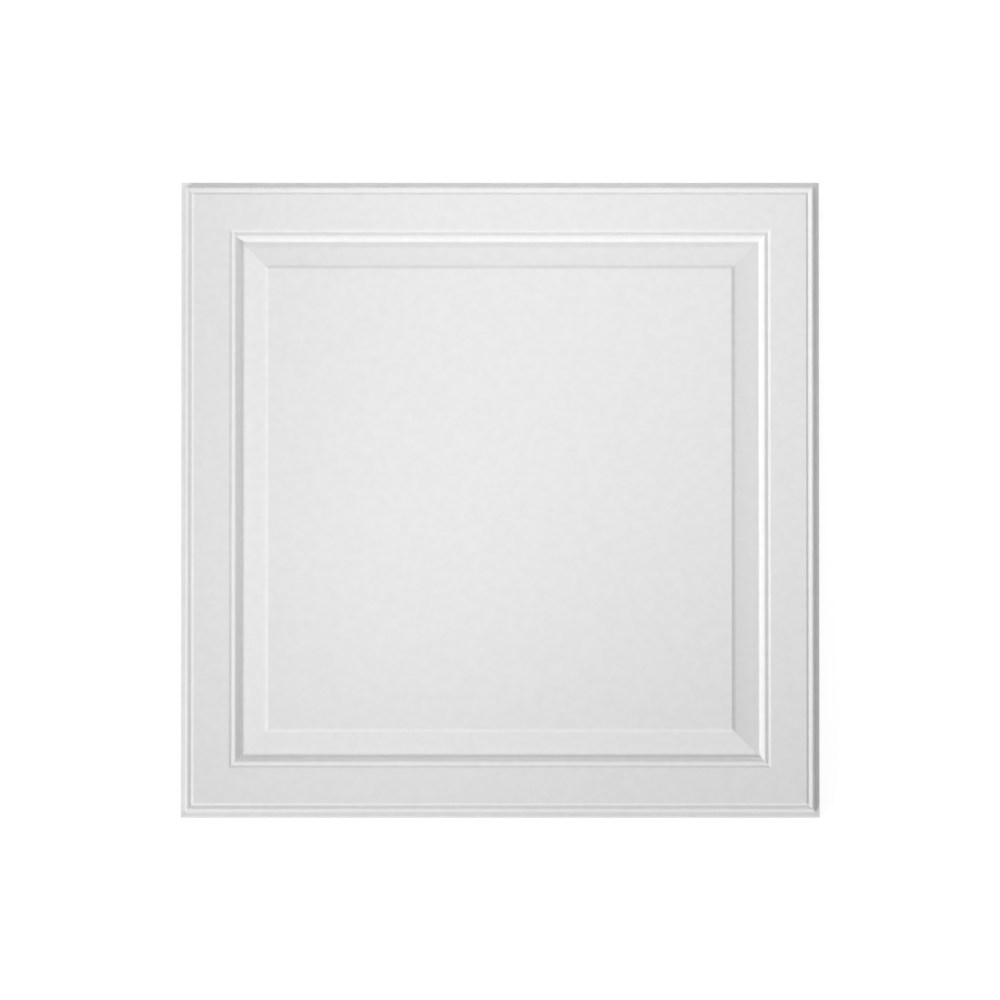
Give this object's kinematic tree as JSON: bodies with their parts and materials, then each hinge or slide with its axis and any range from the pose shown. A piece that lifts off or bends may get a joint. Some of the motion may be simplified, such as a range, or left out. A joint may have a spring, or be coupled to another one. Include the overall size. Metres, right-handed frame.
{
  "type": "tegular ceiling tile",
  "caption": "Square white tegular ceiling tile with a stepped rim ledge, a grooved flat frame, a bead and ovolo into a sunk border, and a bevelled, raised flat middle.",
  "frame": {"origin": "middle of the flat back, which lies on the floor", "axes": "+Z out of the moulded face, +X and +Y along the sides"},
  "size_m": [0.6032, 0.6032, 0.0191],
  "materials": {
    "painted_board": "satin"
  },
  "bodies": {
    "root": {"ceiling_tile": "painted_board"}
  },
  "joints": []
}
